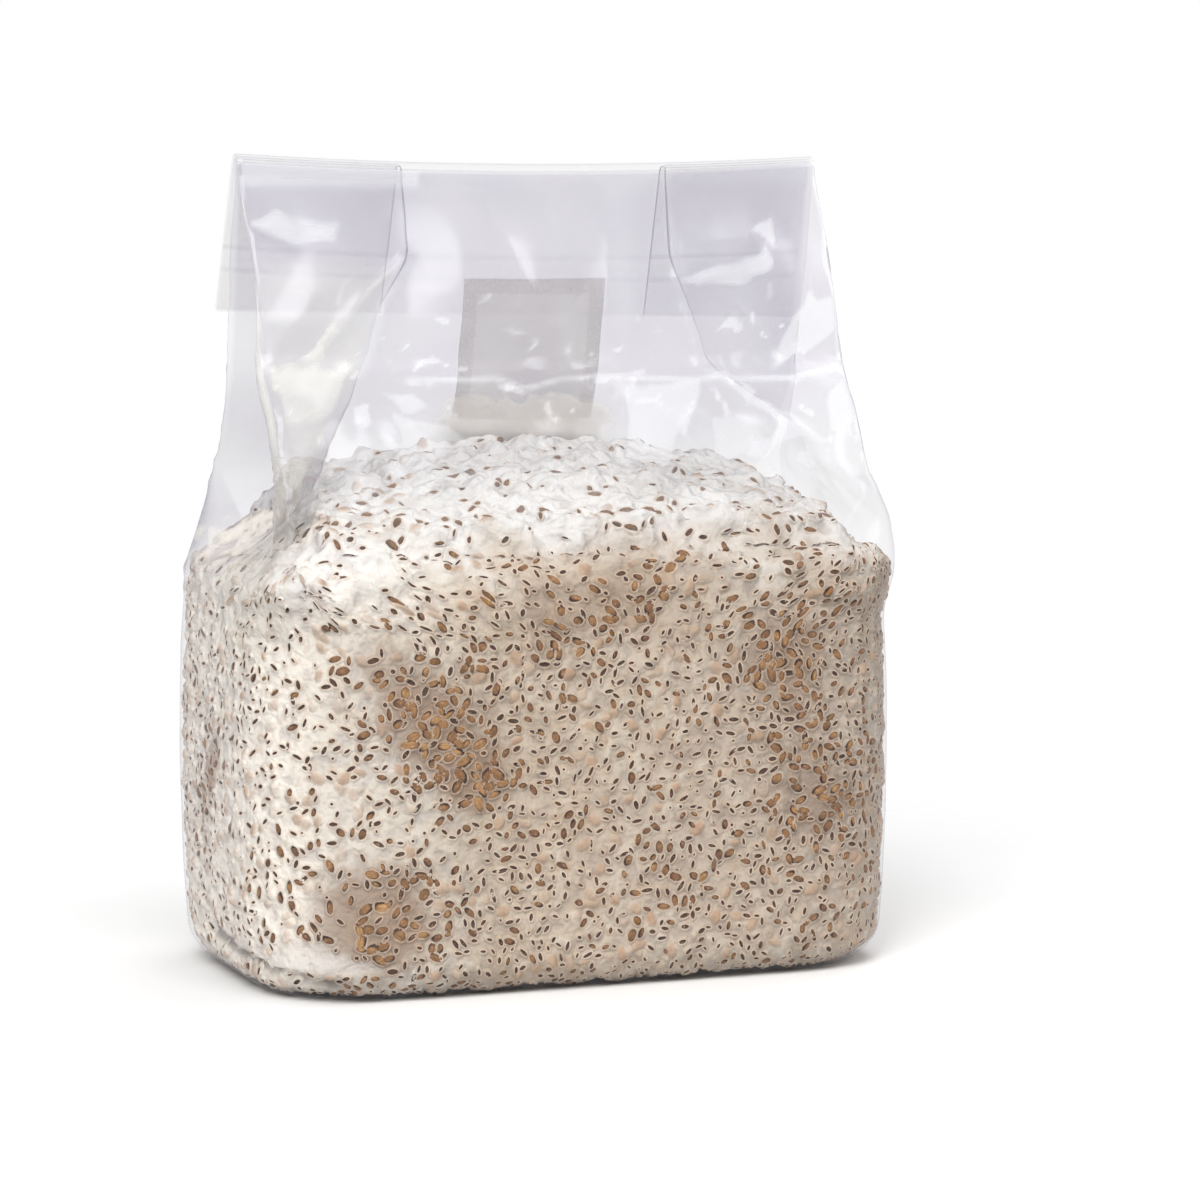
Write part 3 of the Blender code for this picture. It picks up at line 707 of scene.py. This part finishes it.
peak = block[-1].mean(0)
points = np.concatenate([block.reshape(-1, 3), [peak], [[0, 0, block[0, 0, 2]]]])
last = (len(block) - 1) * COLUMNS
cap = fan(last, COLUMNS, len(points) - 2)
floor_cap = fan(0, COLUMNS, len(points) - 1)[:, [1, 0, 2]]
grain_block = add_piece(
    "grain_block", points, quads(len(block), COLUMNS).tolist() + cap.tolist() + floor_cap.tolist(),
    felt_material, {"bare": bareness(points), "fold": np.concatenate([folded.ravel(), [0, 0]])})
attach(grain_block, "root")
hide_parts("grain_spawn")

# The kernels: plump cereal grains caught in the felt. Each is a small domed disc in the surface,
# bare in an opening of the felt with painted shadow round it, or shows only as a slit or a dot in
# painted shade, or a faint outline.
KERNEL_SPACING, HEAP_SPACING = 3.9, 4.2
KERNEL_SIDES = 8
# For each kind: its half length and half width, then the heights of its rings from the middle
# outwards, above the felt between kernels
KINDS = {"bare": (1.75, 0.98, [1.05, 0.95, 0.35, 0.75, -0.2]),
         "slit": (1.30, 0.55, [0.25, 0.30, 0.65, 0.75, -0.2]),
         "dot": (0.58, 0.46, [0.25, 0.30, 0.60, 0.70, -0.2]),
         "buried": (1.90, 1.10, [1.15, 1.05, 0.80, 0.40, -0.2])}
RING_SHARES, RING_BEYOND = np.array([0.55, 1.0, 1.0, 1.0]), np.array([0, 0, 0.4, 1.3])
RING_REACH = np.array([0, 0.55, 1.0, 1.4, 2.0])
random = np.random.default_rng(77)


def scattered(width, height, spacing):
    """Places on a field: rows of even steps, every second row shifted by half, all jostled."""
    rows, columns = int(height / (spacing * 0.866)), int(width / spacing)
    across, up = np.meshgrid(np.arange(columns), np.arange(rows))
    across = (across + 0.5 * (up % 2) + random.uniform(-0.33, 0.33, across.shape)) * width / columns
    up = (up + 0.5 + random.uniform(-0.33, 0.33, up.shape)) * height / rows
    return across.ravel(), up.ravel()


length_round = np.concatenate([[0], np.cumsum(steps[straight_rows // 2])])
wall_line = core[:-HEAP_RINGS + 1, 60]      # up the front, near its middle
length_up = np.concatenate([[0], np.linalg.norm(np.diff(wall_line, axis=0), axis=-1).cumsum()])
rim_turns = np.unwrap(np.arctan2(rim[:, 1] - HEAP_CENTRE[1], rim[:, 0] - HEAP_CENTRE[0]))


def on_wall(across, up):
    """Points and normals of the grain's wall, at lengths round it and up it."""
    place = np.interp(across % length_round[-1], length_round, np.arange(COLUMNS + 1))
    row = np.interp(up, length_up, np.arange(len(length_up)))
    return sampled(block, row, place), sampled(block_normals, row, place)


def on_heap(x, y):
    """Points and normals of the heap: the column by the turn round its middle, and the ring by
    the share of the way from the middle to the rim."""
    x, y = x - HEAP_CENTRE[0], y - HEAP_CENTRE[1]
    turn = (np.arctan2(y, x) - rim_turns[0]) % (2 * np.pi) + rim_turns[0]
    place = np.interp(turn, np.append(rim_turns, rim_turns[0] + 2 * np.pi), np.arange(COLUMNS + 1))
    edge = sampled((rim - HEAP_CENTRE)[None], np.zeros_like(place), place)
    share = np.clip(np.hypot(x, y) / np.linalg.norm(edge, axis=-1), 0, 1)
    row = len(core) - HEAP_RINGS + HEAP_RINGS * (1 - share)
    row = np.minimum(row, len(core) - 1.001)
    return sampled(block, row, place), sampled(block_normals, row, place)


def kernel_discs(across, up, lay):
    """Meshes of many kernels as one: rings of points on each kernel's ellipse, laid on a surface
    and raised along its normal, with their places inside the opening and on the kernel itself."""
    count = len(across)
    centres, facing = lay(across, up)
    bare, height = bareness(centres), centres[:, 2]
    high = rise(height, 142, 160)
    edge = rise(height, 139, 144) * (1 - high)      # the heap's brown rim
    draw = random.uniform(0, 1, count)
    middle = rise(centres[:, 0], -85, -40) * (centres[:, 1] < 0)
    # Chances, added up in the order of KINDS: what is left over is buried
    chance_bare = 0.08 + 0.6 * bare + 0.10 * middle + 0.24 * edge + 0.20 * high
    chance_slit = chance_bare + 0.58 - 0.40 * bare - 0.30 * high
    chance_dot = chance_slit + 0.12
    kinds = np.select([draw < chance_bare, draw < chance_slit, draw < chance_dot], [0, 1, 2], 3)
    sizes = np.array([kind[:2] for kind in KINDS.values()])[kinds]
    sizes = sizes * random.uniform(0.65, 1.2, (count, 1)) * random.uniform(0.8, 1.15, sizes.shape)
    sizes *= (1 + 0.45 * bare + 0.25 * rise(height, 139, 146))[:, None]
    rises = np.array([kind[2] for kind in KINDS.values()])[kinds]
    turn = random.uniform(0, 2 * np.pi, count)
    angles = np.linspace(0, 2 * np.pi, KERNEL_SIDES, endpoint=False)
    unit = np.stack([np.cos(angles), np.sin(angles)], -1)
    local = unit * (RING_SHARES[:, None, None] * sizes[:, None, None] + RING_BEYOND[:, None, None])
    local = np.concatenate([np.zeros((count, 1, 2)), local.reshape(count, -1, 2)], 1)
    cos, sin = np.cos(turn)[:, None], np.sin(turn)[:, None]
    ahead = local[..., 0] * cos - local[..., 1] * sin
    aside = local[..., 0] * sin + local[..., 1] * cos
    if lay is on_heap:          # places on the heap are seen from above, so they draw in on a slope
        level_way = np.stack([facing[:, 2], 0 * facing[:, 0], -facing[:, 0]], -1)
        level_way /= np.linalg.norm(level_way, axis=1, keepdims=True)
        slope_way = np.cross(facing, level_way)[:, None]
        level_way = level_way[:, None]
        ahead, aside = (ahead * level_way[..., 0] + aside * slope_way[..., 0],
                        ahead * level_way[..., 1] + aside * slope_way[..., 1])
    points, normals = lay(across[:, None] + ahead, up[:, None] + aside)
    ring = np.concatenate([[0], np.repeat(np.arange(1, 5), KERNEL_SIDES)])
    points = points + normals * rises[:, ring][..., None]
    reach = RING_REACH[ring]
    on_kernel = local / sizes[:, None]
    third = local.shape[:2] + (1,)
    opening = np.concatenate([on_kernel, np.broadcast_to(reach[:, None], third)], -1)
    # The kernel lies off the opening's middle, so the opening's painted shadow shows as a crescent on one
    # side
    shift = random.uniform(-0.45, 0.45, (count, 1, 2))
    # Bare kernels take golden to brown husk tones, and slits and dots the darkest ones, as painted shade on
    # kernels deep in the felt; -1 marks a buried kernel
    tone = np.where(kinds == 0, random.uniform(0.2, 0.7, count) + 0.3 * bare,
                    random.uniform(0, 0.10, count))
    tone = np.where(kinds == 3, -1.0, tone)
    kernel = np.concatenate([on_kernel * 0.92 + shift, np.broadcast_to(tone[:, None, None], third)], -1)
    crown = fan(1, KERNEL_SIDES, 0)[:, [2, 0, 1]]
    bands = quads(4, KERNEL_SIDES, 1)[:, [0, 3, 2, 1]]
    each = local.shape[1]       # points in one kernel
    starts = np.arange(count)[:, None, None] * each
    faces = (crown + starts).reshape(-1, 3).tolist() + (bands + starts).reshape(-1, 4).tolist()
    return points.reshape(-1, 3), faces, {
        "opening": opening.reshape(-1, 3), "kernel": kernel.reshape(-1, 3),
        "tint": np.repeat(random.uniform(0.25, 1.0, count), each), "bare": np.repeat(bare, each)}


HUSK_AND_SHADE_TONES = [(0.0, paint(50, 34, 23)), (1.0, paint(174, 132, 82)), (0.3, paint(108, 72, 40)),
              (0.65, paint(138, 99, 60))]
GROOVE_SHADE_BROWN, HUSK_RIM_SHADOW, HUSK_BLOOM = paint(88, 54, 30), paint(96, 60, 34), paint(222, 184, 132)
DARK_END, HOLE_SHADOW_BROWN = paint(70, 46, 32), paint(52, 33, 21)
HALO_TAN, OPENING_LIP, SMUDGE_BROWN = paint(180, 136, 96), paint(238, 226, 210), paint(164, 144, 126)

kernel_material, place, output = new_material("Kernels in felt")
felt_colour, relief = mycelium(place)
# How far each point is from the middle of the opening and of the kernel, where 1 is their edge
open_x, open_y, reach = place.attribute("opening", "Vector").axes()
seed_x, seed_y, tone = place.attribute("kernel", "Vector").axes()
tint = place.attribute("tint")
ragged = place.noise(1.3, 2, 0.6) - 0.5
from_middle = (open_x * open_x + open_y * open_y) ** 0.5 + ragged * 0.4
on_seed = (seed_x * seed_x + seed_y * seed_y) ** 0.5 + ragged * 0.15
buried = tone.step(-0.3, -0.6)
# The felt veils some kernels in part, and more of them up on the heap
veil = 1.5 - tint * 0.6
high = place.axes()[2].step(0.141, 0.156)
opened = (1 - from_middle.step(0.80, 1.10)) * (1 - buried) * veil.smaller(1.0) * (1 - high * 0.45)
seed = 1 - on_seed.step(0.74, 1.10)
halo = 1 - (reach + ragged * 0.7).step(0.8, 2.0)
lip_place = reach + ragged * 0.2
lip = lip_place.step(1.0, 1.15) * (1 - lip_place.step(1.25, 1.5)) * (1 - buried)
smudge = (1 - from_middle.step(0.2, 1.15)) * buried
groove = 1 - (seed_y * seed_y).step(0.0, 0.025)
grainy = place.noise(0.9, 2, 0.6)
# The husk: golden to brown, with painted shade along its groove and painted shadow round its rim; its
# darkest tones, on slits and dots, are painted shade
husk = tone.node("ValToRGB", {"stops": HUSK_AND_SHADE_TONES}, {0: tone})
husk = (groove * 0.35 * tone.step(0.2, 0.4)).mix(husk, GROOVE_SHADE_BROWN)
husk = (on_seed.step(0.55, 1.0) * 0.5).mix(husk, HUSK_RIM_SHADOW)
husk = (grainy.step(0.5, 0.75) * 0.3).mix(husk, HUSK_BLOOM)
husk = (open_x.step(0.1, 0.95) * 0.6).mix(husk, DARK_END)
colour = (halo * tint * 0.65).mix(felt_colour, HALO_TAN)
colour = (lip * 0.3).mix(colour, OPENING_LIP)
colour = (smudge * tint * 0.55).mix(colour, SMUDGE_BROWN)
# Painted shadow fills the opening round the kernel, and the husk shows on the kernel itself
colour = opened.mix(colour, HOLE_SHADOW_BROWN)
colour = (opened * seed).mix(colour, husk)
shader = place.node("BsdfPrincipled", None, {"Base Color": colour, "Normal": relief,
                                             "Roughness": 0.9 - opened * seed * 0.4,
                                             "Specular IOR Level": 0.3})
place.tree.links.new(shader.socket, output)

wall_across, wall_up = scattered(length_round[-1], length_up[-1] - 3, KERNEL_SPACING)
wall_up += 2.5
wall_x = on_wall(wall_across, wall_up)[0][:, 0]
in_fold = sampled(folded[..., None], np.interp(wall_up, length_up, np.arange(len(length_up))),
                  np.interp(wall_across, length_round, np.arange(COLUMNS + 1)))[:, 0]
# Some places stay empty: more of them to the left, at the top, and in the upper left most of all
empty = 0.10 + 0.20 * rise(wall_x, -50, -90) + 0.15 * rise(wall_up, 125, 145)
keep = random.uniform(0, 1, len(wall_up)) > empty
keep &= np.abs(in_fold) < 0.35
keep &= random.uniform(0, 1, len(wall_up)) > 0.35 * rise(wall_x, -60, -82) * rise(wall_up, 108, 126)
wall_across, wall_up = wall_across[keep], wall_up[keep]
# The wall's kernels go in four pieces, each a quarter of the way round, about one corner
quarter = ((wall_across + length_round[-1] / 8) % length_round[-1] / length_round[-1] * 4).astype(int)
heap_x, heap_y = scattered(200, 110, HEAP_SPACING)
heap_x, heap_y = heap_x - 99, heap_y - 58
sparse = rise(on_heap(heap_x, heap_y)[0][:, 2], 146, 160)
keep = random.uniform(0, 1, len(heap_x)) > 0.26 + 0.60 * sparse
keep &= np.abs(heap_x) < 103 - 0.3 * np.abs(heap_y)
fields = [(name, wall_across[quarter == number], wall_up[quarter == number], on_wall)
          for number, name in enumerate(("kernels_front", "kernels_right", "kernels_back", "kernels_left"))]
for name, across, up, lay in fields + [("kernels_heap", heap_x[keep], heap_y[keep], on_heap)]:
    points, faces, attributes = kernel_discs(across, up, lay)
    kernels = add_piece(name, points, faces, kernel_material, attributes)
    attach(kernels, "root")

# The studio: a white floor that fades into a white surround, soft boxes above and to the sides,
# and a camera at the photograph's angle, a little above the fold.
FLOOR_RADIUS, FLOOR_FADE = 0.5, (0.16, 0.46)
FLOOR_SPOKES = 96
SURROUND_LIGHT = 0.36       # strength of the surround as light; where it is seen, it is plain white
studio = bpy.context.scene
studio.view_settings.view_transform = "Standard"
studio.cycles.transparent_max_bounces = 24
studio.cycles.max_bounces, studio.cycles.diffuse_bounces, studio.cycles.glossy_bounces = 4, 2, 2
studio.cycles.caustics_reflective = studio.cycles.caustics_refractive = False

world = bpy.data.worlds.new("Surround")
studio.world = world
world.use_nodes = True
tree = world.node_tree
tree.nodes.clear()
start = Wire(tree)
path = start.node("LightPath", None, None, "Is Camera Ray")
rays = path.socket.node.outputs
seen = path.larger(Wire(tree, rays["Is Glossy Ray"])).larger(Wire(tree, rays["Is Transmission Ray"]))
sky = start.node("Background", None, {"Color": (1, 1, 1, 1),
                                      "Strength": seen * (1 - SURROUND_LIGHT) + SURROUND_LIGHT})
tree.links.new(sky.socket, tree.nodes.new("ShaderNodeOutputWorld").inputs["Surface"])

floor_material, place, output = new_material("White floor")
x, y, z = place.axes()
fade = ((x * x + y * y) ** 0.5).step(*FLOOR_FADE)
ground = place.node("BsdfPrincipled", None, {"Base Color": paint(250, 250, 250), "Roughness": 0.8,
                                             "Specular IOR Level": 0.1})
clear = place.node("BsdfTransparent", None, {})
mixed = place.node("MixShader", None, {0: fade, 1: ground, 2: clear})
place.tree.links.new(mixed.socket, output)
turn = np.linspace(0, 2 * np.pi, FLOOR_SPOKES, endpoint=False)
reach = np.array([0.02, 0.15, 0.3, 0.6, 1.0])[:, None, None] * 1000 * FLOOR_RADIUS
rings = reach * np.stack([np.cos(turn), np.sin(turn), 0 * turn], -1)
floor_points = np.concatenate([rings.reshape(-1, 3), [[0, 0, 0]]])
floor_bands = quads(len(rings), FLOOR_SPOKES)[:, ::-1].tolist()
floor_middle = fan(0, FLOOR_SPOKES, len(floor_points) - 1).tolist()
floor = add_piece("studio_floor", floor_points, floor_bands + floor_middle, floor_material)

AIM = np.array([0.0208, -0.0080, 0.1207])
CAMERA_PLACE = (-0.4617, -1.2686, 0.250)
SENSOR_WIDTH, FOCAL_PIXELS, PHOTO_PIXELS = 36.0, 4054, 1200
# Each box: the way to it, its distance, width and height, radiance, and whether the film shows it
SOFT_BOXES = [("Key box", (-0.08, -0.60, 0.78), 1.9, (1.1, 0.8), 3.8, True),
              ("Sky box", (-0.50, -0.62, 0.62), 1.8, (0.8, 0.8), 10.5, False),
              ("Front box", (0.10, -0.95, 0.12), 2.4, (1.6, 1.2), 1.0, False),
              ("Right box", (0.75, -0.40, 0.56), 1.8, (0.7, 0.9), 3.0, True),
              ("Top box", (0.30, 0.30, 0.92), 1.9, (1.0, 1.0), 3.0, False)]
camera = bpy.data.objects.new("Camera", bpy.data.cameras.new("Camera"))
camera.location = CAMERA_PLACE
camera.data.sensor_width = SENSOR_WIDTH
camera.data.lens = SENSOR_WIDTH * FOCAL_PIXELS / PHOTO_PIXELS
studio.collection.objects.link(camera)
studio.camera = camera
lamps = []
for name, way, distance, (width, height), radiance, mirrored in SOFT_BOXES:
    lamp = bpy.data.lights.new(name, "AREA")
    lamp.shape, lamp.size, lamp.size_y = "RECTANGLE", width, height
    lamp.energy = radiance * np.pi * width * height
    box = bpy.data.objects.new(name, lamp)
    box.location = AIM + distance * np.array(way) / np.linalg.norm(way)
    box.visible_glossy = mirrored
    studio.collection.objects.link(box)
    lamps.append(box)
for placed in (camera, *lamps):
    back = np.array(placed.location) - AIM
    yaw, pitch = np.arctan2(back[0], -back[1]), np.arctan2(np.hypot(back[0], back[1]), back[2])
    placed.rotation_euler = (pitch, 0, yaw)
